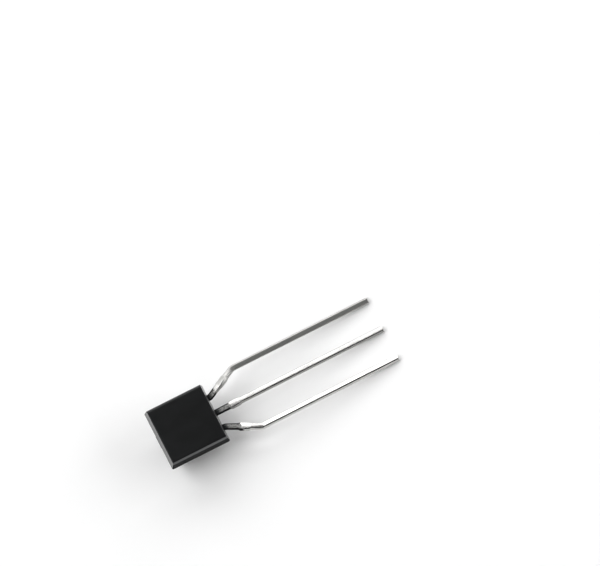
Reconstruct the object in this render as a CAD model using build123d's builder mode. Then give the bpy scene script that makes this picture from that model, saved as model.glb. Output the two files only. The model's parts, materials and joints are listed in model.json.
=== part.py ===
from build123d import *
import os
from math import atan2, cos, degrees, sin, radians, tan

# Three-lead transistor in a moulded half-round package, leads spread for taping.
# Millimetres. The part lies flat face up on the foot of its round back and on its lead tips.

# Moulded body, measured from the parting plane, which is also the plane of the leads
body_length = 4.83  # along the leads, at the parting line
body_width = 4.75  # across the leads, at the parting line
flat_depth = 1.20  # parting plane up to the flat marking face
back_depth = 2.32  # parting plane down to the crest of the round back
flat_width = 4.25  # flat face between its bevelled long edges
bevel_drop = 0.20  # height of the bevel along the flat's long edges
bevel_run = 0.17  # width of the same bevel
front_draft = 8.0  # degrees, end faces on the flat's side of the parting plane
back_draft = 6.0  # degrees, end faces on the round side
edge_round = 0.06  # mould radius on the outer edges
ejector_radius = 0.55  # round mark that the ejector pin leaves in the back
ejector_depth = 0.10  # at the crest of the back
gate_width = 0.90  # broken-off mould gate on the blind end
gate_height = 0.30
gate_drop = 0.22  # centre of the gate below the parting plane
gate_depth = 0.10  # how deep its stub is bedded in the drafted end face

# Lead frame strip
lead_thickness = 0.40
lead_width = 0.47  # long run
shoulder_width = 0.48  # between the body and the cut tie bar
lead_round = 0.10  # rolled edges of the plated strip
lead_length = 14.2  # base of the body to the sheared tips
exit_pitch = 1.27  # lead spacing where the leads leave the body
formed_pitch = 2.50  # lead spacing after spreading
first_bend = 0.15  # centre line corners, measured from the base of the body
second_bend = 2.62
first_bend_radius = 0.5
second_bend_radius = 0.7
tie_bar_at = 1.62  # remains of the bar that tied the leads together, along a lead
tie_bar_length = 0.95
tie_bar_width = 0.62

# Lead frame inside the body
anchor_start = 0.40  # barbs that stop a lead from pulling out
anchor_end = 0.72
anchor_width = 0.84
paddle_neck = 1.20
paddle_start = 1.50
paddle_end = 3.85
paddle_width = 1.50
paddle_hole_radius = 0.22
paddle_hole_at = 3.42
post_start = 1.05
post_end = 2.65
post_inner = 0.97
post_outer = 1.90

# Chip and bond wires
die_side = 0.42
die_thickness = 0.18
die_at = 2.45  # centre of the chip, behind the base of the body
pad_offset = 0.11  # bond pads on the chip, off its centre
wire_radius = 0.015
ball_radius = 0.04
ball_height = 0.02
loop_height = 0.22  # top of the wire above the chip
loop_reach = 0.30  # share of the span where the wire starts to fall
loop_radius = 0.06
stitch_at = 2.05  # where the wire ends on a post
stitch_length = 0.09
stitch_width = 0.05
stitch_height = 0.012

# How it lies: the back's foot at the base end and the lead tips touch one level surface
end_inset_front = flat_depth * tan(radians(front_draft))
end_inset_back = back_depth * tan(radians(back_draft))
tilt = atan2(back_depth - lead_thickness / 2, lead_length + end_inset_back)
blind_reach = (body_length - end_inset_back) * cos(tilt) + back_depth * sin(tilt)
tip_reach = lead_length * cos(tilt) + lead_thickness / 2 * sin(tilt)
lead_plane = Plane(
    origin=(
        (blind_reach - tip_reach) / 2,
        0,
        back_depth * cos(tilt) - end_inset_back * sin(tilt),
    ),
    x_dir=(cos(tilt), 0, -sin(tilt)),
    z_dir=(sin(tilt), 0, cos(tilt)),
)
section_plane = Plane(lead_plane.origin, x_dir=lead_plane.y_dir, z_dir=lead_plane.x_dir)
side_plane = Plane(lead_plane.origin, x_dir=lead_plane.x_dir, z_dir=-lead_plane.y_dir)
strip_top = lead_thickness / 2
die_top = strip_top + die_thickness
along_leads = Axis(lead_plane.origin, lead_plane.x_dir)
out_of_flat = Axis(lead_plane.origin, lead_plane.z_dir)


def rolled_edges(lead):
    """Long edges of a lead's two faces outside the body, without the sheared tip."""
    faces = lead.faces().sort_by(out_of_flat)
    edges = faces[0].edges() + faces[-1].edges()
    return edges.filter_by_position(along_leads, -anchor_start / 2, lead_length - lead_width)


# Centre lead: long run, shoulder, anchor barbs and the paddle that carries the chip
with BuildPart() as collector_lead:
    with BuildSketch(lead_plane):
        with BuildLine():
            Polyline(
                (lead_length, 0),
                (lead_length, lead_width / 2),
                (tie_bar_at + tie_bar_length / 2, lead_width / 2),
                (tie_bar_at - tie_bar_length / 2, shoulder_width / 2),
                (-anchor_start, shoulder_width / 2),
                (-anchor_start, anchor_width / 2),
                (-anchor_end, anchor_width / 2),
                (-anchor_end, shoulder_width / 2),
                (-paddle_neck, shoulder_width / 2),
                (-paddle_start, paddle_width / 2),
                (-paddle_end, paddle_width / 2),
                (-paddle_end, 0),
                close=True,
            )
        make_face()
        mirror(about=Plane.XZ)
        with Locations((-paddle_hole_at, 0)):
            Circle(paddle_hole_radius, mode=Mode.SUBTRACT)
    extrude(amount=lead_thickness / 2, both=True)
    fillet(rolled_edges(collector_lead), lead_round)
    with BuildSketch(lead_plane):
        with Locations((tie_bar_at, 0)):
            Rectangle(tie_bar_length, tie_bar_width)
    extrude(amount=lead_thickness / 2 - lead_round, both=True)

# Outer lead on the +Y side: bond post, stem, outward spread and long run
spread = atan2(formed_pitch - exit_pitch, second_bend - first_bend)
mitre = tan(spread / 2) / 2
with BuildPart() as base_lead:
    with BuildSketch(lead_plane):
        with BuildLine():
            FilletPolyline(
                (lead_length, formed_pitch - lead_width / 2),
                (lead_length, formed_pitch + lead_width / 2),
                (second_bend - lead_width * mitre, formed_pitch + lead_width / 2),
                (first_bend - shoulder_width * mitre, exit_pitch + shoulder_width / 2),
                (-anchor_start, exit_pitch + shoulder_width / 2),
                (-anchor_start, exit_pitch + anchor_width / 2),
                (-anchor_end, exit_pitch + anchor_width / 2),
                (-anchor_end, exit_pitch + shoulder_width / 2),
                (-post_start, post_outer),
                (-post_end, post_outer),
                (-post_end, post_inner),
                (-post_start, post_inner),
                (-anchor_end, exit_pitch - shoulder_width / 2),
                (-anchor_end, exit_pitch - anchor_width / 2),
                (-anchor_start, exit_pitch - anchor_width / 2),
                (-anchor_start, exit_pitch - shoulder_width / 2),
                (first_bend + shoulder_width * mitre, exit_pitch - shoulder_width / 2),
                (second_bend + lead_width * mitre, formed_pitch - lead_width / 2),
                radius=[
                    0,
                    0,
                    second_bend_radius + lead_width / 2,
                    first_bend_radius - shoulder_width / 2,
                    *[0] * 12,
                    first_bend_radius + shoulder_width / 2,
                    second_bend_radius - lead_width / 2,
                ],
                close=True,
            )
        make_face()
    extrude(amount=lead_thickness / 2, both=True)
    fillet(rolled_edges(base_lead), lead_round)
    tie_bar_run = tie_bar_at - first_bend
    tie_bar_along = first_bend + tie_bar_run * cos(spread)
    tie_bar_offset = exit_pitch + tie_bar_run * sin(spread)
    with BuildSketch(lead_plane):
        with Locations(Location((tie_bar_along, tie_bar_offset), degrees(spread))):
            Rectangle(tie_bar_length, tie_bar_width)
    extrude(amount=lead_thickness / 2 - lead_round, both=True)

with BuildPart() as emitter_lead:
    mirror(base_lead.part, about=Plane.XZ)

# Chip, bonded to the paddle
with BuildPart() as silicon_die:
    with BuildSketch(lead_plane.offset(strip_top)):
        with Locations((-die_at, 0)):
            Rectangle(die_side, die_side)
    extrude(amount=die_thickness)

# Bond wire: ball on the chip, low loop, flattened stitch on the post
wire_start = lead_plane.from_local_coords(Vector(-die_at, pad_offset, die_top))
wire_end = lead_plane.from_local_coords(Vector(-stitch_at, exit_pitch, die_top))
wire_span = (wire_end - wire_start).length
wire_along = (wire_end - wire_start).normalized()
wire_plane = Plane(wire_start, x_dir=wire_along, z_dir=wire_along.cross(lead_plane.z_dir))
pad_plane = Plane(wire_start, x_dir=wire_along, z_dir=lead_plane.z_dir)
stitch_plane = Plane(wire_end, x_dir=wire_along, z_dir=lead_plane.z_dir)
with BuildPart() as base_wire:
    with BuildSketch(pad_plane):
        Circle(ball_radius)
    extrude(amount=ball_height)
    with BuildLine(wire_plane):
        FilletPolyline(
            (0, 0),
            (0, loop_height),
            (wire_span * loop_reach, loop_height),
            (wire_span, -die_thickness),
            radius=loop_radius,
        )
    with BuildSketch(pad_plane):
        Circle(wire_radius)
    sweep()
    with BuildSketch(stitch_plane.offset(-die_thickness)):
        Ellipse(stitch_length / 2, stitch_width / 2)
    extrude(amount=stitch_height)
    add(base_lead.part, mode=Mode.SUBTRACT)

with BuildPart() as emitter_wire:
    mirror(base_wire.part, about=Plane.XZ)

# Body: half-round section, drafted both ways from the parting plane, moulded round the insert
with BuildPart() as molded_body:
    with BuildSketch(section_plane):
        with BuildLine():
            Polyline(
                (-body_width / 2, 0),
                (-flat_width / 2 - bevel_run, flat_depth - bevel_drop),
                (-flat_width / 2, flat_depth),
                (flat_width / 2, flat_depth),
                (flat_width / 2 + bevel_run, flat_depth - bevel_drop),
                (body_width / 2, 0),
            )
            ThreePointArc((body_width / 2, 0), (0, -back_depth), (-body_width / 2, 0))
        make_face()
    extrude(amount=-body_length)
    with BuildSketch(side_plane):
        with BuildLine():
            Polyline(
                (-end_inset_front, flat_depth),
                (0, 0),
                (-end_inset_back, -back_depth),
                (-body_length + end_inset_back, -back_depth),
                (-body_length, 0),
                (-body_length + end_inset_front, flat_depth),
                close=True,
            )
        make_face()
    extrude(amount=body_width, both=True, mode=Mode.INTERSECT)
    fillet(molded_body.edges(), edge_round)
    with BuildSketch(lead_plane.offset(ejector_depth - back_depth)):
        with Locations((-body_length / 2, 0)):
            Circle(ejector_radius)
    extrude(amount=-ejector_depth, mode=Mode.SUBTRACT)
    with BuildSketch(section_plane.offset(-body_length)):
        with Locations((0, -gate_drop)):
            Rectangle(gate_width, gate_height)
    extrude(amount=gate_depth)
    for insert in (collector_lead, base_lead, emitter_lead, silicon_die, base_wire, emitter_wire):
        add(insert.part, mode=Mode.SUBTRACT)

os.makedirs("parts", exist_ok=True)
for name, piece in (
    ("molded_body", molded_body),
    ("collector_lead", collector_lead),
    ("base_lead", base_lead),
    ("emitter_lead", emitter_lead),
    ("silicon_die", silicon_die),
    ("base_wire", base_wire),
    ("emitter_wire", emitter_wire),
):
    piece.part.label = name
    export_step(piece.part, f"parts/{name}.step")
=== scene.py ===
import json
import math
from types import SimpleNamespace

import bmesh
import bpy
from bpy.props import FloatProperty, FloatVectorProperty, PointerProperty
from mathutils import Matrix, Quaternion, Vector


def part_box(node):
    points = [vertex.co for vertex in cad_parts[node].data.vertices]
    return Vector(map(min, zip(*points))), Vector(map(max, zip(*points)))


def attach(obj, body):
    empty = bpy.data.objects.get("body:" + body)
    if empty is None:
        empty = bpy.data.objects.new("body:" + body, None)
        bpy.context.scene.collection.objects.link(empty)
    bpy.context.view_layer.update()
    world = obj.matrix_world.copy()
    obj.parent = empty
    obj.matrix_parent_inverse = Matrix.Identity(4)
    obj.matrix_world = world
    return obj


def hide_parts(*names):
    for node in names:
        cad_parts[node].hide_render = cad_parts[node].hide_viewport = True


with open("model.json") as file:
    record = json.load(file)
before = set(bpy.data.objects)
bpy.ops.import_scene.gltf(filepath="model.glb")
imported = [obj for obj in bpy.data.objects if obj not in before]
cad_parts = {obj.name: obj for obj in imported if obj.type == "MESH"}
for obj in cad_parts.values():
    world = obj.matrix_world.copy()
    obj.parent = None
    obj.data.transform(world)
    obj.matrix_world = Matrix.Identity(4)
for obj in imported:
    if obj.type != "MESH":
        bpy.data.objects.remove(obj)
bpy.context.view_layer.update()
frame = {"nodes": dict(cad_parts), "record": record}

bl_info = {
    "name": "Three-Lead Transistor",
    "version": (1, 0, 0),
    "blender": (4, 5, 0),
    "location": "3D View > Sidebar > Transistor",
    "description": "Dresses the packed transistor: body, leads, chip, bond wires and stage",
    "category": "Add Mesh",
}

# How the package lies, from the record: along the leads, across them and out of the flat
MOUNTS = {mount["name"]: mount for mount in frame["record"]["mounts"]}
ALONG = Vector(MOUNTS["collector_pin"]["axis"]).normalized()
OUTWARD = Vector(MOUNTS["marking_face"]["axis"]).normalized()
ACROSS = OUTWARD.cross(ALONG)
TIP_CENTRE = Vector(MOUNTS["collector_pin"]["pos_m"])
FLAT_CENTRE = Vector(MOUNTS["marking_face"]["pos_m"])
LEAD_LENGTH = 0.0142
BASE_CENTRE = TIP_CENTRE - ALONG * LEAD_LENGTH
FLAT_OFFSET = FLAT_CENTRE - BASE_CENTRE
BODY_LENGTH = -2 * FLAT_OFFSET.dot(ALONG)
BODY_LOW, BODY_HIGH = (Vector(corner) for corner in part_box("molded_body"))
BODY_WIDTH = BODY_HIGH.y - BODY_LOW.y

# Pieces are shaped on a bench in millimetres, with the base of the body at the origin, +X along the
# leads and +Z out of the flat, and are then laid down where the solids lie
BENCH = 0.001
LAY_DOWN = (
    Matrix.Translation(BASE_CENTRE)
    @ Matrix((ALONG, ACROSS, OUTWARD)).transposed().to_4x4()
    @ Matrix.Scale(BENCH, 4)
)
CLOSE = 0.002  # places nearer than this are the same place on the bench
MERGE = CLOSE / 10  # vertices nearer than this are merged
SHARP = math.radians(20)  # edges of the body sharper than this are rounded
CORNER = math.radians(60)  # edges of a lead sharper than this are its corners
SQUARE = 0.9  # a face with this much of its normal along a direction faces that way
BACK_FACETS = 192  # round the body's back
TOOL_FACETS = 64  # round a hole
ROUND_STEPS = 4  # across a rounded edge of the body
ROLL_STEPS = 6  # across a rolled edge of a lead
BEND_STEPS = 10  # along a bend of a lead
TWIST_PLACES = (-0.6, -0.2, 0.2, 0.6)  # where a long run turns round its bend, in lead widths
GATE_CUTS = 7  # across the broken face of the mould gate
GATE_SEED = 4  # of its crumbled surface

# Edges flatter than these are shaded smooth
BODY_SMOOTH = math.radians(28)
LEAD_SMOOTH = math.radians(35)
FLOOR_SMOOTH = math.radians(40)

# Colour sockets of a Mix node
MIX_FIRST = 6
MIX_SECOND = 7
MIX_RESULT = 2

# Stage, in metres
FLOOR_RADIUS = 0.40
FLOOR_FACETS = 96
COVE_RADIUS = 0.14
COVE_STEPS = 8
LIGHT_DISTANCE = 0.48
SENSOR_WIDTH = 36  # millimetres
NEAREST_SEEN = 0.001

# Each light's direction round the object from +X and above the floor in degrees, its width and height
LIGHTS = {
    "main_light": (150, 60, 0.30, 0.30),
    "window_light": (80, 36, 0.80, 0.30),
    "right_light": (-15, 30, 0.40, 0.24),
    "low_light": (20, 18, 0.50, 0.16),
    "left_light": (180, 30, 0.40, 0.24),
}


def length(name, default, description):
    """A length in metres."""
    return FloatProperty(
        name=name, description=description, default=default, unit="LENGTH", precision=6
    )


def angle(name, degrees, description):
    """An angle, written in degrees."""
    return FloatProperty(
        name=name, description=description, default=math.radians(degrees), subtype="ANGLE"
    )


def color(name, default, description):
    """A linear colour."""
    return FloatVectorProperty(
        name=name, description=description, default=default, size=3, min=0, max=1, subtype="COLOR"
    )


def glow(name, default, description):
    """How bright a light's surface is, white paper in full light being about one."""
    return FloatProperty(name=name, description=description, default=default, min=0)


def share(name, default, description):
    """A share of one."""
    return FloatProperty(
        name=name, description=description, default=default, min=0, max=1, subtype="FACTOR"
    )


class TransistorBodySizes(bpy.types.PropertyGroup):
    body_length: length("Body Length", BODY_LENGTH, "Along the leads, at the parting line")
    body_width: length("Body Width", BODY_WIDTH, "Across the leads, at the parting line")
    flat_depth: length("Flat Depth", FLAT_OFFSET.dot(OUTWARD), "Parting plane up to the flat")
    back_depth: length("Back Depth", 0.00232, "Parting plane down to the crest of the round back")
    flat_width: length("Flat Width", 0.00425, "Flat between its bevelled long edges")
    bevel_drop: length("Bevel Drop", 0.00020, "Height of the bevel along the flat's long edges")
    bevel_run: length("Bevel Run", 0.00017, "Width of the same bevel")
    front_draft: angle("Front Draft", 8, "Slope of the end faces on the flat's side")
    back_draft: angle("Back Draft", 6, "Slope of the end faces on the round side")
    edge_round: length("Edge Round", 0.00006, "Mould radius on the outer edges")
    seam_width: length("Seam Width", 0.000025, "Half the width of the ridge where the mould halves meet")
    seam_height: length("Seam Height", 0.000012, "How far that ridge stands proud")
    ejector_radius: length("Ejector Radius", 0.00055, "Round mark of the ejector pin in the back")
    ejector_depth: length("Ejector Depth", 0.00010, "Depth of that mark at the crest of the back")
    ejector_round: length("Ejector Round", 0.000015, "Softened rim of that mark")
    gate_width: length("Gate Width", 0.00090, "Broken mould gate on the blind end")
    gate_height: length("Gate Height", 0.00030, "Height of the same gate")
    gate_drop: length("Gate Drop", 0.00022, "Centre of the gate below the parting plane")
    gate_depth: length("Gate Depth", 0.00010, "How deep its stub is bedded in the end face")
    gate_proud: length("Gate Proud", 0.000010, "How far the break stands out past the stub")
    gate_crumble: length("Gate Crumble", 0.000014, "Roughness of the break")


class TransistorLeadSizes(bpy.types.PropertyGroup):
    lead_thickness: length("Lead Thickness", 0.00040, "Thickness of the strip")
    lead_width: length("Lead Width", 0.00047, "Width of the long run")
    shoulder_width: length("Shoulder Width", 0.00048, "Width between the body and the cut tie bar")
    lead_round: length("Lead Round", 0.00013, "Rolled edges of the plated strip")
    lead_length: length("Lead Length", LEAD_LENGTH, "Base of the body to the sheared tips")
    exit_pitch: length("Exit Pitch", 0.00127, "Lead spacing where the leads leave the body")
    formed_pitch: length("Formed Pitch", MOUNTS["base_pin"]["pos_m"][1], "Lead spacing after spreading")
    first_bend: length("First Bend", 0.00015, "Corner of the centre line, from the base of the body")
    second_bend: length("Second Bend", 0.00262, "Second corner of the centre line")
    first_bend_radius: length("First Bend Radius", 0.0005, "Centre line radius of the first bend")
    second_bend_radius: length("Second Bend Radius", 0.0007, "Centre line radius of the second bend")
    collector_twist: angle("Collector Twist", 12, "How far the centre lead is turned, towards +Y")
    base_twist: angle("Base Twist", -14, "How far the lead on the +Y side is turned, towards +Y")
    emitter_twist: angle("Emitter Twist", 20, "How far the lead on the -Y side is turned, towards +Y")
    base_lean: angle("Base Lean", 42, "How far the slanted stretch of the +Y lead is turned, towards +Y")
    emitter_lean: angle("Emitter Lean", 14, "How far that stretch of the -Y lead is turned, towards +Y")
    collector_tarnish: share("Collector Tarnish", 0.0, "How dull the plate of the centre lead is")
    base_tarnish: share("Base Tarnish", 0.7, "How dull the plate of the lead on the +Y side is")
    emitter_tarnish: share("Emitter Tarnish", 0.0, "How dull the plate of the lead on the -Y side is")
    collector_dip: length("Collector Dip Line", 0.00115, "Where the plate of the centre lead starts")
    base_dip: length("Base Dip Line", 0.00066, "Where the plate of the lead on the +Y side starts")
    emitter_dip: length("Emitter Dip Line", 0.00128, "Where the plate of the lead on the -Y side starts")
    # These shares darken a lead's side walls: partly bare sheared metal, partly painted shade on the
    # sides that face away from the light
    collector_raw: share("Collector Raw Edges", 0.85, "How bare the edges of the centre lead are")
    base_raw: share("Base Raw Edges", 0.0, "How bare the edges of the lead on the +Y side are")
    emitter_raw: share("Emitter Raw Edges", 0.45, "How bare the edges of the lead on the -Y side are")
    tie_bar_at: length("Tie Bar", 0.00162, "Cut bar that tied the leads together, along a lead")
    tie_bar_length: length("Tie Bar Length", 0.00095, "Length of its remains along a lead")
    tie_bar_width: length("Tie Bar Width", 0.00062, "Width over its remains")
    tie_bar_slope: length("Tie Bar Slope", 0.00014, "Length of the slope at each end of them")
    shear_lean: length("Shear Lean", 0.00005, "How far a sheared tip leans back")
    anchor_start: length("Anchor Start", 0.00040, "Barbs inside the body, behind its base")
    anchor_end: length("Anchor End", 0.00072, "End of the same barbs")
    anchor_width: length("Anchor Width", 0.00084, "Width over the barbs")
    paddle_neck: length("Paddle Neck", 0.00120, "Where the centre lead starts to widen")
    paddle_start: length("Paddle Start", 0.00150, "Start of the paddle that carries the chip")
    paddle_end: length("Paddle End", 0.00385, "End of the same paddle")
    paddle_width: length("Paddle Width", 0.00150, "Width of the same paddle")
    paddle_hole: length("Paddle Hole", 0.00022, "Radius of the hole that locks the paddle in")
    paddle_hole_at: length("Paddle Hole Place", 0.00342, "Centre of that hole, behind the base")
    post_start: length("Post Start", 0.00105, "Start of the post that takes a bond wire")
    post_end: length("Post End", 0.00265, "End of the same post")
    post_inner: length("Post Inner Edge", 0.00097, "Its edge towards the centre lead")
    post_outer: length("Post Outer Edge", 0.00190, "Its edge towards the side of the body")


class TransistorFinishes(bpy.types.PropertyGroup):
    epoxy: color("Epoxy", (0.0048, 0.0051, 0.0054), "Black moulding compound")
    # Painted highlight: a lighter grey along the flat's long bevel on the -Y side, in place of that
    # bevel's reflection of the bright surroundings
    painted_bevel_highlight: color("Rubbed Edge", (0.110, 0.112, 0.114), "Compound rubbed grey along one long bevel")
    filler: color("Filler", (0.035, 0.036, 0.037), "Grey grains of glass filler in the compound")
    tin: color("Tin", (0.86, 0.85, 0.83), "Bright tin plate")
    dull_tin: color("Dull Tin", (0.34, 0.34, 0.33), "Bare strip near the body, above the dip line")
    sheared: color("Sheared Metal", (0.30, 0.295, 0.285), "Bare metal on the sheared tips")
    # Partly bare sheared metal, partly painted shade on the lead sides that face away from the light
    raw_and_shaded_edge: color("Raw Edge", (0.22, 0.22, 0.21), "Darkened edges of the strip, past the plate")
    silicon: color("Silicon", (0.16, 0.17, 0.21), "Polished chip")
    pads: color("Pads", (0.78, 0.78, 0.80), "Aluminium pads on the chip")
    gold: color("Gold", (0.94, 0.66, 0.24), "Bond wire")
    floor: color("Floor", (0.90, 0.90, 0.90), "Pale studio floor")
    bleed_reach: length("Bleed Reach", 0.00042, "How far moulding compound creeps out over a lead")


class TransistorStage(bpy.types.PropertyGroup):
    camera_turn: angle("Camera Turn", 10.803, "Camera direction round the object, from its -Y side")
    camera_rise: angle("Camera Rise", 77.994, "Camera direction above the floor")
    camera_roll: angle("Camera Roll", 38.854, "How far the camera leans to its right")
    camera_distance: length("Camera Distance", 0.251051, "Camera to the floor point in mid picture")
    camera_lens: FloatProperty(
        name="Camera Lens", description="Focal length", default=197.51, unit="CAMERA"
    )
    aim_along: length("Aim Along", 0.005490, "Floor point in mid picture, along +X")
    aim_across: length("Aim Across", 0.006201, "Floor point in mid picture, along +Y")
    main_light: glow("Main Light", 4.6, "Soft light high over the blind end")
    window_light: glow("Window Light", 2.45, "Large soft light across from the camera")
    right_light: glow("Right Light", 3.4, "Soft light at the lead tips")
    low_light: glow("Low Light", 2.3, "Low strip of light beyond the lead tips")
    left_light: glow("Left Light", 1.2, "Soft light at the blind end")
    room_light: glow("Room Light", 0.02, "Even light from all round")


def own_properties(group):
    """A property group's own properties, without those that every group has."""
    return [prop for prop in group.bl_rna.properties if prop.identifier not in ("rna_type", "name")]


def in_millimetres(group):
    """A property group's lengths in millimetres, and its other values as they are."""
    values = {}
    for prop in own_properties(group):
        value = getattr(group, prop.identifier)
        values[prop.identifier] = value / BENCH if prop.unit == "LENGTH" else value
    return SimpleNamespace(**values)


# Work on the bench


def clear_selection():
    if bpy.context.mode != "OBJECT":
        bpy.ops.object.mode_set(mode="OBJECT")
    bpy.ops.object.select_all(action="DESELECT")


def take(piece):
    """Makes one piece the only selected and active one."""
    clear_selection()
    piece.select_set(True)
    bpy.context.view_layer.objects.active = piece


def open_piece(name):
    """Names the primitive just added, puts its place into its mesh and opens it for editing."""
    piece = bpy.context.active_object
    piece.name = name
    piece.data.name = name
    bpy.ops.object.transform_apply(location=True, rotation=True, scale=True)
    bpy.ops.object.mode_set(mode="EDIT")
    return piece


def pick(piece, kind, wanted):
    """Selects the vertices, edges or faces of an open piece that wanted says yes to."""
    bpy.ops.mesh.select_mode(type=kind)
    bpy.ops.mesh.select_all(action="DESELECT")
    mesh = bmesh.from_edit_mesh(piece.data)
    elements = {"VERT": mesh.verts, "EDGE": mesh.edges, "FACE": mesh.faces}[kind]
    found = [element for element in elements if wanted(element)]
    if not found:
        raise RuntimeError(f"{piece.name}: nothing to select there")
    for element in found:
        element.select_set(True)
    mesh.select_flush_mode()
    bmesh.update_edit_mesh(piece.data)


def cut_off(place, facing):
    """Cuts the open piece on a plane, drops the side that the plane faces and closes the cut."""
    bpy.ops.mesh.select_all(action="SELECT")
    bpy.ops.mesh.bisect(
        plane_co=place, plane_no=facing, use_fill=True, clear_outer=True, threshold=MERGE / 2
    )


def tidy_mesh():
    """Merges doubles of the open piece and turns its faces outwards."""
    bpy.ops.mesh.select_all(action="SELECT")
    bpy.ops.mesh.remove_doubles(threshold=MERGE)
    bpy.ops.mesh.normals_make_consistent(inside=False)


def combine(piece, tool, operation):
    """Unites a tool with a piece or cuts it out of the piece, and uses the tool up."""
    take(piece)
    change = piece.modifiers.new("Combine", "BOOLEAN")
    change.operation = operation
    change.object = tool
    change.solver = "EXACT"
    bpy.ops.object.modifier_apply(modifier=change.name)
    bpy.data.objects.remove(tool)


def round_tool(radius, height, place):
    """An upright round bar to cut with."""
    clear_selection()
    bpy.ops.mesh.primitive_cylinder_add(vertices=TOOL_FACETS, radius=radius, depth=height, location=place)
    bar = open_piece("round_tool")
    bpy.ops.object.mode_set(mode="OBJECT")
    return bar


def lay_down(piece, node, smooth):
    """Moves a finished piece from the bench to the place of the solid that it stands for."""
    take(piece)
    piece.matrix_world = LAY_DOWN
    bpy.ops.object.transform_apply(location=True, rotation=True, scale=True)
    bpy.ops.object.shade_smooth_by_angle(angle=smooth)
    even = piece.modifiers.new("Even", "WEIGHTED_NORMAL")
    even.keep_sharp = True
    bpy.ops.object.modifier_apply(modifier=even.name)
    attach(piece, "root")
    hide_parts(node)


def mold_body(size):
    """Half-round body: the drafted back, then the flat side raised from the parting plane."""
    clear_selection()
    middle = -size.body_length / 2
    bpy.ops.mesh.primitive_cylinder_add(
        vertices=BACK_FACETS,
        radius=size.body_width / 2,
        depth=size.body_length,
        location=(middle, 0, 0),
        rotation=(0, math.pi / 2, 0),
    )
    body = open_piece("epoxy_body")
    bpy.ops.mesh.select_all(action="SELECT")
    roundness = 2 * size.back_depth / size.body_width
    bpy.ops.transform.resize(value=(1, 1, roundness), center_override=(0, 0, 0))
    cut_off((0, 0, 0), (0, 0, 1))
    out, down = math.cos(size.back_draft), -math.sin(size.back_draft)
    cut_off((0, 0, 0), (out, 0, down))
    cut_off((-size.body_length, 0, 0), (-out, 0, down))

    wall_top = size.flat_depth - size.bevel_drop
    outline = [
        (0, size.body_width),
        (wall_top, size.flat_width + 2 * size.bevel_run),
        (size.flat_depth, size.flat_width),
    ]
    pick(body, "FACE", lambda face: face.normal.z > SQUARE)
    for (low, low_width), (high, high_width) in zip(outline, outline[1:]):
        bpy.ops.mesh.extrude_region_move(TRANSFORM_OT_translate={"value": (0, 0, high - low)})
        low_length = size.body_length - 2 * low * math.tan(size.front_draft)
        high_length = size.body_length - 2 * high * math.tan(size.front_draft)
        bpy.ops.transform.resize(
            value=(high_length / low_length, high_width / low_width, 1),
            center_override=(middle, 0, high),
        )
    tidy_mesh()

    pick(body, "EDGE", lambda edge: edge.calc_face_angle(0) > SHARP)
    bpy.ops.mesh.bevel(offset=size.edge_round, segments=ROUND_STEPS, affect="EDGES")
    pick(body, "EDGE", lambda edge: all(abs(vert.co.z) < CLOSE for vert in edge.verts))
    bpy.ops.mesh.bevel(offset=size.seam_width, segments=2, affect="EDGES")
    pick(body, "VERT", lambda vert: abs(vert.co.z) < CLOSE)
    bpy.ops.transform.shrink_fatten(value=size.seam_height)

    place = (middle, 0, -size.back_depth)
    combine(body, round_tool(size.ejector_radius, 2 * size.ejector_depth, place), "DIFFERENCE")
    combine(body, break_gate(size), "UNION")
    bpy.ops.object.mode_set(mode="EDIT")
    floor = size.ejector_depth - size.back_depth

    def on_rim(vert):
        from_axis = math.hypot(vert.co.x - middle, vert.co.y)
        return vert.co.z < floor - CLOSE and abs(from_axis - size.ejector_radius) < CLOSE

    pick(body, "EDGE", lambda edge: all(on_rim(vert) for vert in edge.verts))
    bpy.ops.mesh.bevel(offset=size.ejector_round, segments=2, affect="EDGES")
    tidy_mesh()
    bpy.ops.object.mode_set(mode="OBJECT")
    return body


def break_gate(size):
    """Stub of the broken mould gate, with a crumbled outer face, bedded in the blind end."""
    clear_selection()
    middle = size.gate_depth / 2 - size.body_length
    bpy.ops.mesh.primitive_cube_add(size=1, location=(middle, 0, -size.gate_drop))
    bpy.context.active_object.scale = (size.gate_depth, size.gate_width, size.gate_height)
    stub = open_piece("gate_stub")
    pick(stub, "FACE", lambda face: face.normal.x < -SQUARE)
    bpy.ops.transform.translate(value=(-size.gate_proud, 0, 0))
    bpy.ops.mesh.subdivide(number_cuts=GATE_CUTS)
    bpy.ops.transform.vertex_random(offset=size.gate_crumble, seed=GATE_SEED)
    bpy.ops.mesh.select_all(action="SELECT")
    bpy.ops.mesh.quads_convert_to_tris()
    tidy_mesh()
    bpy.ops.object.mode_set(mode="OBJECT")
    return stub


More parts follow.
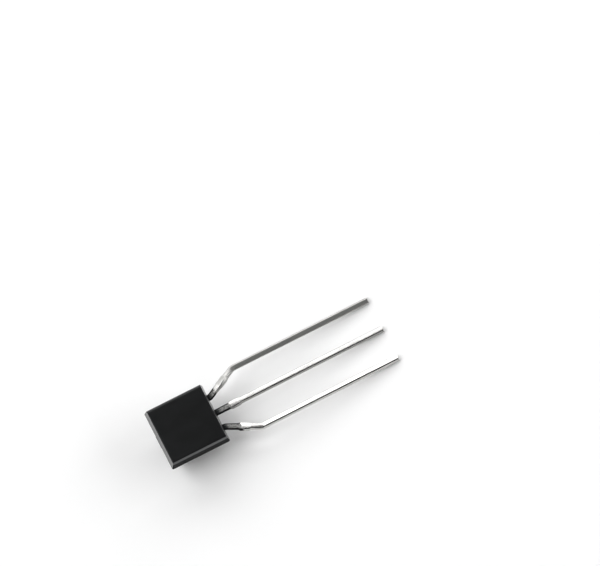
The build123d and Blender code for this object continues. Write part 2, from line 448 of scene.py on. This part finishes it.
class Strip:
    """A lead frame strip on the bench, which grows from its free end edge."""

    def __init__(self, name, tail, reach, width):
        clear_selection()
        self.end = tail + Vector((reach, 0, 0))
        self.heading = 0.0
        self.width = width
        bpy.ops.mesh.primitive_plane_add(size=1, location=(tail + self.end) / 2)
        bpy.context.active_object.scale = (reach, width, 1)
        self.piece = open_piece(name)
        limit = self.end.x - CLOSE
        pick(self.piece, "EDGE", lambda edge: all(vert.co.x > limit for vert in edge.verts))

    def run(self, reach, width=None, aside=0.0):
        """Goes straight on, to another width or to one side where these are given."""
        step = Vector((math.cos(self.heading), math.sin(self.heading), 0)) * reach
        step.y += aside
        self.end = self.end + step
        bpy.ops.mesh.extrude_region_move(TRANSFORM_OT_translate={"value": step})
        if width:
            ratio = width / self.width
            bpy.ops.transform.resize(value=(ratio, ratio, 1), center_override=self.end)
            self.width = width

    def run_to(self, along, width=None):
        """Goes straight on until a distance from the base of the body."""
        self.run((along - self.end.x) / math.cos(self.heading), width)

    def bend(self, turn, radius):
        """Bends in its own plane, to the left for a positive turn. Spin turns clockwise about +Z."""
        left = Vector((-math.sin(self.heading), math.cos(self.heading), 0))
        centre = self.end + left * math.copysign(radius, turn)
        bpy.ops.mesh.spin(steps=BEND_STEPS, angle=turn, center=centre, axis=(0, 0, -1))
        self.end = centre + Matrix.Rotation(turn, 3, "Z") @ (self.end - centre)
        self.heading += turn

    def swell(self, size, start):
        """Widens where the tie bar was cut, start being how far along the lead the strip is."""
        half = size.tie_bar_length / 2
        self.run(size.tie_bar_at - half - start, size.shoulder_width)
        self.run(size.tie_bar_slope, size.tie_bar_width)
        self.run(size.tie_bar_length - 2 * size.tie_bar_slope)
        self.run(size.tie_bar_slope, size.lead_width)

    def anchor(self, size):
        """Adds the barbs that hold the strip in the body, up to the base."""
        shoulder = size.anchor_end - size.anchor_start
        self.run_to(-size.anchor_end, size.shoulder_width)
        self.run(CLOSE, size.anchor_width)
        self.run(shoulder - 2 * CLOSE)
        self.run(CLOSE, size.shoulder_width)
        self.run_to(-size.anchor_start / 2)

    def stamp(self, size):
        """Gives the strip its thickness, rolled edges and sheared tip."""
        piece = self.piece
        tidy_mesh()
        bpy.ops.object.mode_set(mode="OBJECT")
        take(piece)
        wall = piece.modifiers.new("Thickness", "SOLIDIFY")
        wall.thickness = size.lead_thickness
        wall.offset = 0
        bpy.ops.object.modifier_apply(modifier=wall.name)
        bpy.ops.object.mode_set(mode="EDIT")
        tidy_mesh()
        tip = size.lead_length - CLOSE
        inside = -size.anchor_start / 2 - CLOSE

        def rolled(edge):
            start, end = (vert.co for vert in edge.verts)
            level = abs(start.z - end.z) < CLOSE
            return level and inside < min(start.x, end.x) < tip and edge.calc_face_angle(0) > CORNER

        pick(piece, "EDGE", rolled)
        bpy.ops.mesh.bevel(
            offset=size.lead_round, segments=ROLL_STEPS, affect="EDGES", clamp_overlap=False
        )
        pick(piece, "VERT", lambda vert: vert.co.x > tip and vert.co.z > 0)
        bpy.ops.transform.translate(value=(-size.shear_lean, 0, 0))
        bpy.ops.object.mode_set(mode="OBJECT")


def stamp_collector(size):
    """Centre lead: paddle, neck, anchor barbs, shoulder and straight long run."""
    paddle = size.paddle_end - size.paddle_start
    strip = Strip("collector_strip", Vector((-size.paddle_end, 0, 0)), paddle, size.paddle_width)
    strip.run_to(-size.paddle_neck, size.shoulder_width)
    strip.anchor(size)
    strip.swell(size, strip.end.x)
    strip.run_to(size.second_bend)
    strip.run_to(size.lead_length)
    strip.stamp(size)
    swelling = size.tie_bar_at - size.tie_bar_length / 2
    windows = [(start, size.lead_length) for start in (-CLOSE, CLOSE)]
    twist(strip.piece, size.collector_twist, Vector((swelling, 0, 0)), 0.0, windows)
    height = 2 * size.lead_thickness
    hole = round_tool(size.paddle_hole, height, (-size.paddle_hole_at, 0, 0))
    combine(strip.piece, hole, "DIFFERENCE")
    return strip.piece


def stamp_outer(size):
    """Outer lead on the +Y side: bond post, anchor barbs, outward spread and long run."""
    spread = math.atan2(size.formed_pitch - size.exit_pitch, size.second_bend - size.first_bend)
    tail = Vector((-size.post_end, (size.post_inner + size.post_outer) / 2, 0))
    post = size.post_end - size.post_start
    strip = Strip("base_strip", tail, post, size.post_outer - size.post_inner)
    strip.run(size.post_start - size.anchor_end, size.shoulder_width, size.exit_pitch - tail.y)
    strip.anchor(size)
    mitre = math.tan(spread / 2)
    strip.run_to(size.first_bend - size.first_bend_radius * mitre)
    strip.bend(spread, size.first_bend_radius)
    along = (strip.end.x - size.first_bend) / math.cos(spread) + size.first_bend
    strip.swell(size, along)
    strip.run_to(size.second_bend - size.second_bend_radius * mitre * math.cos(spread))
    strip.bend(-spread, size.second_bend_radius)
    strip.run_to(size.lead_length)
    strip.stamp(size)
    return strip.piece


def swing(turn, place):
    """Swings the whole open piece about an upright line. Rotate turns clockwise."""
    bpy.ops.mesh.select_all(action="SELECT")
    bpy.ops.transform.rotate(value=turn, orient_axis="Z", center_override=place)


def twist(piece, turn, place, heading, windows):
    """Turns a lead about a line through a place, by an equal part for each window along that line."""
    take(piece)
    bpy.ops.object.mode_set(mode="EDIT")
    swing(heading, place)
    for start, end in windows:
        pick(piece, "VERT", lambda vert: start < vert.co.x - place.x < end)
        bpy.ops.transform.rotate(value=turn / len(windows), orient_axis="X", center_override=place)
    swing(-heading, place)
    bpy.ops.object.mode_set(mode="OBJECT")


def twist_outer(piece, size, side, lean, turn):
    """Turns an outer lead's slanted stretch, from its swelling to the second bend, and its long run."""
    first = Vector((size.first_bend, side * size.exit_pitch, 0))
    second = Vector((size.second_bend, side * size.formed_pitch, 0))
    slant = second - first
    swelling = size.tie_bar_at - size.tie_bar_length / 2 - size.first_bend
    bend = slant.length - size.second_bend_radius / 2
    slanted = [(swelling + start, bend) for start in (-CLOSE, CLOSE)]
    straight = [(place * size.lead_width, size.lead_length) for place in TWIST_PLACES]
    twist(piece, lean, first, math.atan2(slant.y, slant.x), slanted)
    twist(piece, turn, second, 0.0, straight)


def mirror_lead(piece, name):
    """A copy of an outer lead for the other side, with its own mesh."""
    take(piece)
    bpy.ops.object.duplicate()
    twin = bpy.context.active_object
    twin.name = name
    twin.data.name = name
    bpy.ops.object.mode_set(mode="EDIT")
    bpy.ops.mesh.select_all(action="SELECT")
    bpy.ops.transform.resize(value=(1, -1, 1), center_override=(0, 0, 0))
    tidy_mesh()
    bpy.ops.object.mode_set(mode="OBJECT")
    return twin


# Finishes


class Field:
    """A number that changes over a surface. Python's operators on it add Math nodes."""

    def __init__(self, finish, socket):
        self.finish = finish
        self.socket = socket

    def math(self, operation, first, second):
        return self.finish.node("ShaderNodeMath", {"operation": operation}, {0: first, 1: second})

    def __add__(self, other):
        return self.math("ADD", self, other)

    def __radd__(self, other):
        return self.math("ADD", other, self)

    def __sub__(self, other):
        return self.math("SUBTRACT", self, other)

    def __rsub__(self, other):
        return self.math("SUBTRACT", other, self)

    def __mul__(self, other):
        return self.math("MULTIPLY", self, other)

    def __rmul__(self, other):
        return self.math("MULTIPLY", other, self)

    def __abs__(self):
        return self.math("ABSOLUTE", self, 0.0)


class Finish:
    """A node material whose patterns are placed on the bench's axes, in millimetres."""

    def __init__(self, name):
        self.material = bpy.data.materials.new(name)
        self.material.use_nodes = True
        self.nodes = self.material.node_tree.nodes
        self.links = self.material.node_tree.links
        self.nodes.clear()
        place, turn, scale = LAY_DOWN.inverted().decompose()
        self.place = self.node(
            "ShaderNodeMapping",
            {"vector_type": "POINT"},
            {
                "Vector": self.node("ShaderNodeTexCoord", output="Object"),
                "Location": place,
                "Rotation": turn.to_euler(),
                "Scale": scale,
            },
        )
        self.along, self.across, self.out = (
            self.node("ShaderNodeSeparateXYZ", {}, {"Vector": self.place}, axis) for axis in "XYZ"
        )

    def node(self, kind, settings=None, inputs=None, output=0):
        """Adds a node, sets it, feeds its sockets with values or links and returns one output."""
        node = self.nodes.new(kind)
        for key, value in (settings or {}).items():
            setattr(node, key, value)
        for key, value in (inputs or {}).items():
            if isinstance(value, Field):
                self.links.new(value.socket, node.inputs[key])
            else:
                node.inputs[key].default_value = value
        return Field(self, node.outputs[output])

    def stretched(self, sizes):
        """Coordinates in which a pattern of size one gets these sizes along the three axes."""
        scale = tuple(1 / size for size in sizes)
        return self.node(
            "ShaderNodeVectorMath", {"operation": "MULTIPLY"}, {0: self.place, 1: scale}
        )

    def noise(self, sizes, detail=3.0, roughness=0.55):
        """Soft random pattern round one half."""
        return self.node(
            "ShaderNodeTexNoise",
            {"noise_dimensions": "3D"},
            {"Vector": self.stretched(sizes), "Scale": 1.0, "Detail": detail, "Roughness": roughness},
        )

    def cells(self, size):
        """Distance from the nearest of many scattered points, in cell sizes."""
        return self.node(
            "ShaderNodeTexVoronoi",
            {"feature": "F1"},
            {"Vector": self.stretched((size,) * 3), "Scale": 1.0},
            "Distance",
        )

    def facing(self, direction):
        """How squarely the surface faces along a direction, one way or the other."""
        normal = self.node("ShaderNodeTexCoord", output="Normal")
        product = {"operation": "DOT_PRODUCT"}
        return abs(self.node("ShaderNodeVectorMath", product, {0: normal, 1: direction}, "Value"))

    def rise(self, value, low, high):
        """Goes smoothly from none to all as a value goes from low to high."""
        return self.node(
            "ShaderNodeMapRange",
            {"interpolation_type": "SMOOTHSTEP"},
            {"Value": value, "From Min": low, "From Max": high},
        )

    def blend(self, amount, first, second):
        """Goes from one colour to another."""
        shades = {MIX_FIRST: self.solid(first), MIX_SECOND: self.solid(second)}
        return self.node(
            "ShaderNodeMix", {"data_type": "RGBA"}, {"Factor": amount, **shades}, MIX_RESULT
        )

    def solid(self, shade):
        return shade if isinstance(shade, Field) else (*shade, 1.0)

    def bump(self, height, depth):
        """Surface normals of a relief this deep, in millimetres."""
        return self.node("ShaderNodeBump", {}, {"Height": height, "Distance": depth * BENCH}, "Normal")

    def surface(self, **inputs):
        """Closes the material with a surface shader."""
        sockets = {name.replace("_", " "): value for name, value in inputs.items()}
        shader = self.node("ShaderNodeBsdfPrincipled", {}, sockets)
        output = self.nodes.new("ShaderNodeOutputMaterial")
        self.links.new(shader.socket, output.inputs["Surface"])
        return self.material


def epoxy_finish(colors, size):
    """Black compound: satin flat and ends, matte sides and back, grain, flow marks, filler, gate."""
    finish = Finish("black_epoxy")
    flow = finish.noise((2.4, 1.1, 1.1), 2.0)
    grain = finish.noise((0.060,) * 3, 4.0)
    smear = finish.noise((0.9, 0.5, 0.5), 3.0)
    grains = 1 - finish.rise(finish.cells(0.11), 0.06, 0.16)
    sparse = finish.rise(finish.noise((0.30,) * 3, 1.0), 0.50, 0.62)

    wall_top = size.flat_depth - size.bevel_drop
    upper = finish.rise(finish.out, wall_top - 0.06, wall_top - 0.01)
    ends = finish.rise(finish.facing(ALONG), 0.75, 0.90)
    matte = (1 - upper) * (1 - ends)
    flat_edge = -size.flat_width / 2
    bevel = upper * (1 - finish.rise(finish.across, flat_edge - 0.06, flat_edge - 0.02))
    # Painted highlight: the long bevel on the -Y side is made lighter grey in patches, standing in for
    # the bright reflection it shows
    painted_bevel_highlight = bevel * finish.rise(finish.noise((0.5, 0.08, 0.08), 3.0), 0.10, 0.45)
    broken = 1 - finish.rise(finish.along, -size.body_length - 0.02, -size.body_length - 0.004)

    shade = finish.blend(finish.rise(flow, 0.30, 0.70), colors.epoxy, [1.35 * c for c in colors.epoxy])
    shade = finish.blend(grains * sparse * 0.7, shade, colors.filler)
    shade = finish.blend(painted_bevel_highlight, shade, colors.painted_bevel_highlight)
    shade = finish.blend(broken * 0.6, shade, colors.filler)
    satin = 0.26 + 0.12 * grain + 0.06 * finish.rise(smear, 0.45, 0.70)
    return finish.surface(
        Base_Color=shade,
        Roughness=satin + 0.40 * matte + 0.35 * broken,
        Specular_IOR_Level=0.10,
        Coat_Weight=0.4 * upper + 0.6 * ends,
        Coat_Roughness=0.30,
        Normal=finish.bump(grain + 0.35 * flow, 0.006),
    )


def tin_finish(name, colors, size, plate):
    """Plate on rolled strip: rolling lines, clouds, scratches, bare shoulder, creep of compound, painted
    shade on the rims near the body.
    """
    finish = Finish(name)
    rolling = finish.noise((5.0, 0.035, 0.035), 3.0)
    cloud = finish.noise((0.9, 0.35, 0.35), 3.0)
    pits = finish.noise((0.05,) * 3, 2.0)
    patches = finish.noise((0.20, 0.12, 0.12), 3.0)
    spots = finish.noise((0.11, 0.07, 0.07), 2.0)
    reached = finish.along + 0.5 * (patches - 0.5)
    bare = 1 - finish.rise(reached, plate.dip - 0.10, plate.dip + 0.06)
    creep = 1 - finish.rise(reached, 0.2 * colors.bleed_reach, 1.2 * colors.bleed_reach)
    square = finish.facing(OUTWARD)
    shaded_rims = 1 - finish.rise(square, 0.93, 0.995)
    sides = 1 - finish.rise(square, 0.50, 0.75)
    dirt = finish.rise(spots, 0.46, 0.58)
    # Compound creeping out from the body and dark dirt spots are real; the near-black on the rims and
    # side walls up to the dip line is painted shade, for the shade on the edges near the body
    bleed_and_shade = 1 - (1 - creep) * (1 - bare * shaded_rims) * (1 - 0.7 * bare * dirt)
    scratch = finish.rise(finish.noise((0.02, 0.5, 0.5), 2.0), 0.62, 0.72)
    formed = 1 - finish.rise(abs(finish.along - size.second_bend), 0.3, 0.8)

    tin = [bright + plate.tarnish * (dull - bright) for bright, dull in zip(colors.tin, colors.dull_tin)]
    shade = finish.blend(finish.rise(cloud, 0.35, 0.75) * 0.35, tin, colors.dull_tin)
    shade = finish.blend(bare, shade, colors.dull_tin)
    # Side walls darkened: partly bare sheared edges, partly painted shade, more on some leads than others
    shade = finish.blend(sides * plate.raw, shade, colors.raw_and_shaded_edge)
    shade = finish.blend(bleed_and_shade, shade, [2 * c for c in colors.epoxy])
    polish = 0.14 + 0.19 * plate.tarnish + 0.12 * rolling + 0.10 * cloud
    return finish.surface(
        Base_Color=shade,
        Metallic=1 - bleed_and_shade,
        Roughness=polish + 0.16 * bare + 0.16 * sides + 0.20 * bleed_and_shade + 0.06 * scratch * formed,
        Specular_IOR_Level=0.10,
        Normal=finish.bump(0.6 * rolling + 0.3 * pits + 0.15 * scratch * formed, 0.004),
    )


def sheared_finish(colors):
    """Bare cut metal: a smooth sheared band, then a torn one."""
    finish = Finish("sheared_metal")
    tear = finish.noise((0.03, 0.02, 0.12), 3.0)
    torn = finish.rise(finish.out + 0.1 * (tear - 0.5), -0.06, 0.04)
    shade = finish.blend(torn, colors.sheared, [0.6 * c for c in colors.sheared])
    return finish.surface(
        Base_Color=shade,
        Metallic=1.0,
        Roughness=0.28 + 0.25 * torn + 0.10 * tear,
        Normal=finish.bump(tear, 0.008),
    )


def plate_lead(lead, size, context, terminal):
    """Plates a lead in its own way, and bares the metal where its tip was sheared."""
    colors = in_millimetres(context.scene.transistor_finishes)
    own = {trait: getattr(size, f"{terminal}_{trait}") for trait in ("tarnish", "dip", "raw")}
    lead.data.materials.append(tin_finish(f"{lead.name}_tin", colors, size, SimpleNamespace(**own)))
    lead.data.materials.append(sheared_finish(colors))
    take(lead)
    bpy.ops.object.mode_set(mode="EDIT")
    tip = size.lead_length - 2 * size.shear_lean
    pick(lead, "FACE", lambda face: min(vert.co.x for vert in face.verts) > tip)
    lead.active_material_index = 1
    bpy.ops.object.material_slot_assign()
    bpy.ops.object.mode_set(mode="OBJECT")


def silicon_finish(colors):
    """Polished chip with its two aluminium pads."""
    finish = Finish("polished_silicon")
    haze = finish.noise((0.08,) * 3, 3.0)
    aside = abs(finish.across)
    lanes = finish.rise(aside, 0.06, 0.07) * (1 - finish.rise(aside, 0.15, 0.16))
    shade = finish.blend(lanes, colors.silicon, colors.pads)
    return finish.surface(
        Base_Color=shade,
        Metallic=0.4 + 0.5 * lanes,
        Roughness=0.12 + 0.16 * haze,
        Normal=finish.bump(haze, 0.0005),
    )


def gold_finish(colors):
    """Drawn gold wire with faint die lines."""
    finish = Finish("bond_gold")
    drawn = finish.noise((0.20, 0.20, 0.004), 2.0)
    shade = finish.blend(drawn, colors.gold, [0.85 * c for c in colors.gold])
    return finish.surface(
        Base_Color=shade,
        Metallic=1.0,
        Roughness=0.16 + 0.12 * drawn,
        Normal=finish.bump(drawn, 0.0004),
    )


def floor_finish(colors):
    """Matte pale board."""
    finish = Finish("pale_floor")
    fibre = finish.noise((0.30, 0.20, 0.30), 3.0)
    shade = finish.blend(fibre * 0.4, colors.floor, [0.97 * c for c in colors.floor])
    return finish.surface(Base_Color=shade, Roughness=0.75 + 0.1 * fibre, Specular_IOR_Level=0.2)


# Stage


def direction(turn, rise):
    """The way towards a place seen at an angle round the object, from +X, and above the floor."""
    flat = math.cos(rise)
    return Vector((flat * math.cos(turn), flat * math.sin(turn), math.sin(rise)))


def lay_floor(colors):
    """Round pale floor that curves up to a low wall on all sides."""
    clear_selection()
    bpy.ops.mesh.primitive_circle_add(vertices=FLOOR_FACETS, radius=FLOOR_RADIUS, fill_type="NGON")
    floor = open_piece("studio_floor")
    radius = FLOOR_RADIUS
    height = 0.0
    pick(floor, "EDGE", lambda edge: edge.is_boundary)
    for step in range(1, COVE_STEPS + 1):
        turn = math.pi / 2 * step / COVE_STEPS
        wider = FLOOR_RADIUS + COVE_RADIUS * math.sin(turn)
        higher = COVE_RADIUS * (1 - math.cos(turn))
        bpy.ops.mesh.extrude_edges_move(TRANSFORM_OT_translate={"value": (0, 0, higher - height)})
        bpy.ops.transform.resize(
            value=(wider / radius, wider / radius, 1), center_override=(0, 0, higher)
        )
        radius, height = wider, higher
    bpy.ops.object.mode_set(mode="OBJECT")
    bpy.ops.object.shade_smooth_by_angle(angle=FLOOR_SMOOTH)
    floor.data.materials.append(floor_finish(colors))


def hang_lights(scene, stage):
    """Soft lights round the object, with a dim room overhead."""
    for name, (turn, rise, width, height) in LIGHTS.items():
        clear_selection()
        place = direction(math.radians(turn), math.radians(rise)) * LIGHT_DISTANCE
        bpy.ops.object.light_add(type="AREA", location=place)
        light = bpy.context.active_object
        light.name = name
        light.rotation_euler = place.to_track_quat("Z", "Y").to_euler()
        light.visible_camera = False
        light.data.shape = "RECTANGLE"
        light.data.size = width
        light.data.size_y = height
        light.data.energy = getattr(stage, name) * math.pi * width * height
    room = bpy.data.worlds.new("studio_room")
    room.use_nodes = True
    background = room.node_tree.nodes["Background"]
    background.inputs["Color"].default_value = (1.0, 1.0, 1.0, 1.0)
    background.inputs["Strength"].default_value = stage.room_light
    scene.world = room
    scene.view_settings.view_transform = "Standard"


def set_camera(scene, stage):
    """Puts the camera at the photograph's viewing angle and distance."""
    towards = direction(stage.camera_turn - math.pi / 2, stage.camera_rise)
    aim = Vector((stage.aim_along, stage.aim_across, 0))
    clear_selection()
    bpy.ops.object.camera_add(location=aim + towards * stage.camera_distance)
    camera = bpy.context.active_object
    camera.name = "photo_camera"
    lean = Quaternion((0, 0, 1), -stage.camera_roll)
    camera.rotation_euler = (towards.to_track_quat("Z", "Y") @ lean).to_euler()
    camera.data.lens = stage.camera_lens
    camera.data.sensor_fit = "HORIZONTAL"
    camera.data.sensor_width = SENSOR_WIDTH
    camera.data.clip_start = NEAREST_SEEN
    scene.camera = camera


# Operators


class TRANSISTOR_OT_epoxy_body(bpy.types.Operator):
    """Models the moulded epoxy body in place of its solid"""

    bl_idname = "transistor.epoxy_body"
    bl_label = "Epoxy Body"

    def execute(self, context):
        size = in_millimetres(context.scene.transistor_body)
        colors = in_millimetres(context.scene.transistor_finishes)
        body = mold_body(size)
        body.data.materials.append(epoxy_finish(colors, size))
        lay_down(body, "molded_body", BODY_SMOOTH)
        return {"FINISHED"}


class TRANSISTOR_OT_collector_lead(bpy.types.Operator):
    """Models the straight centre lead in place of its solid"""

    bl_idname = "transistor.collector_lead"
    bl_label = "Collector Lead"

    def execute(self, context):
        size = in_millimetres(context.scene.transistor_leads)
        lead = stamp_collector(size)
        plate_lead(lead, size, context, "collector")
        lay_down(lead, "collector_lead", LEAD_SMOOTH)
        return {"FINISHED"}


class TRANSISTOR_OT_outer_leads(bpy.types.Operator):
    """Models the two spread outer leads in place of their solids"""

    bl_idname = "transistor.outer_leads"
    bl_label = "Outer Leads"

    def execute(self, context):
        size = in_millimetres(context.scene.transistor_leads)
        base = stamp_outer(size)
        emitter = mirror_lead(base, "emitter_strip")
        twist_outer(base, size, 1, size.base_lean, size.base_twist)
        twist_outer(emitter, size, -1, size.emitter_lean, size.emitter_twist)
        plate_lead(base, size, context, "base")
        plate_lead(emitter, size, context, "emitter")
        lay_down(base, "base_lead", LEAD_SMOOTH)
        lay_down(emitter, "emitter_lead", LEAD_SMOOTH)
        return {"FINISHED"}


class TRANSISTOR_OT_chip_and_wires(bpy.types.Operator):
    """Gives the chip and the bond wires their finishes"""

    bl_idname = "transistor.chip_and_wires"
    bl_label = "Chip and Bond Wires"

    def execute(self, context):
        colors = in_millimetres(context.scene.transistor_finishes)
        gold = gold_finish(colors)
        finishes = {
            "silicon_die": silicon_finish(colors),
            "base_wire": gold,
            "emitter_wire": gold,
        }
        for node, material in finishes.items():
            materials = frame["nodes"][node].data.materials
            materials.clear()
            materials.append(material)
        return {"FINISHED"}


class TRANSISTOR_OT_stage(bpy.types.Operator):
    """Sets up the floor, the lights and the camera"""

    bl_idname = "transistor.stage"
    bl_label = "Stage"

    def execute(self, context):
        stage = context.scene.transistor_stage
        lay_floor(in_millimetres(context.scene.transistor_finishes))
        hang_lights(context.scene, stage)
        set_camera(context.scene, stage)
        return {"FINISHED"}


class TRANSISTOR_PT_sidebar(bpy.types.Panel):
    """Sizes, finishes and steps of the transistor"""

    bl_idname = "TRANSISTOR_PT_sidebar"
    bl_label = "Transistor"
    bl_space_type = "VIEW_3D"
    bl_region_type = "UI"
    bl_category = "Transistor"

    def draw(self, context):
        for operator in OPERATORS:
            self.layout.operator(operator.bl_idname)
        for name, (label, _) in GROUPS.items():
            box = self.layout.box()
            box.label(text=label)
            group = getattr(context.scene, name)
            for prop in own_properties(group):
                box.prop(group, prop.identifier)


OPERATORS = (
    TRANSISTOR_OT_epoxy_body,
    TRANSISTOR_OT_collector_lead,
    TRANSISTOR_OT_outer_leads,
    TRANSISTOR_OT_chip_and_wires,
    TRANSISTOR_OT_stage,
)
GROUPS = {
    "transistor_body": ("Body", TransistorBodySizes),
    "transistor_leads": ("Leads", TransistorLeadSizes),
    "transistor_finishes": ("Finishes", TransistorFinishes),
    "transistor_stage": ("Stage", TransistorStage),
}


def register():
    for name, (_, group) in GROUPS.items():
        bpy.utils.register_class(group)
        setattr(bpy.types.Scene, name, PointerProperty(type=group))
    for operator in OPERATORS:
        bpy.utils.register_class(operator)
    bpy.utils.register_class(TRANSISTOR_PT_sidebar)


def unregister():
    bpy.utils.unregister_class(TRANSISTOR_PT_sidebar)
    for operator in reversed(OPERATORS):
        bpy.utils.unregister_class(operator)
    for name, (_, group) in reversed(GROUPS.items()):
        delattr(bpy.types.Scene, name)
        bpy.utils.unregister_class(group)


def main():
    register()
    bpy.ops.transistor.epoxy_body()
    bpy.ops.transistor.collector_lead()
    bpy.ops.transistor.outer_leads()
    bpy.ops.transistor.chip_and_wires()
    bpy.ops.transistor.stage()


if __name__ == "__main__":
    main()
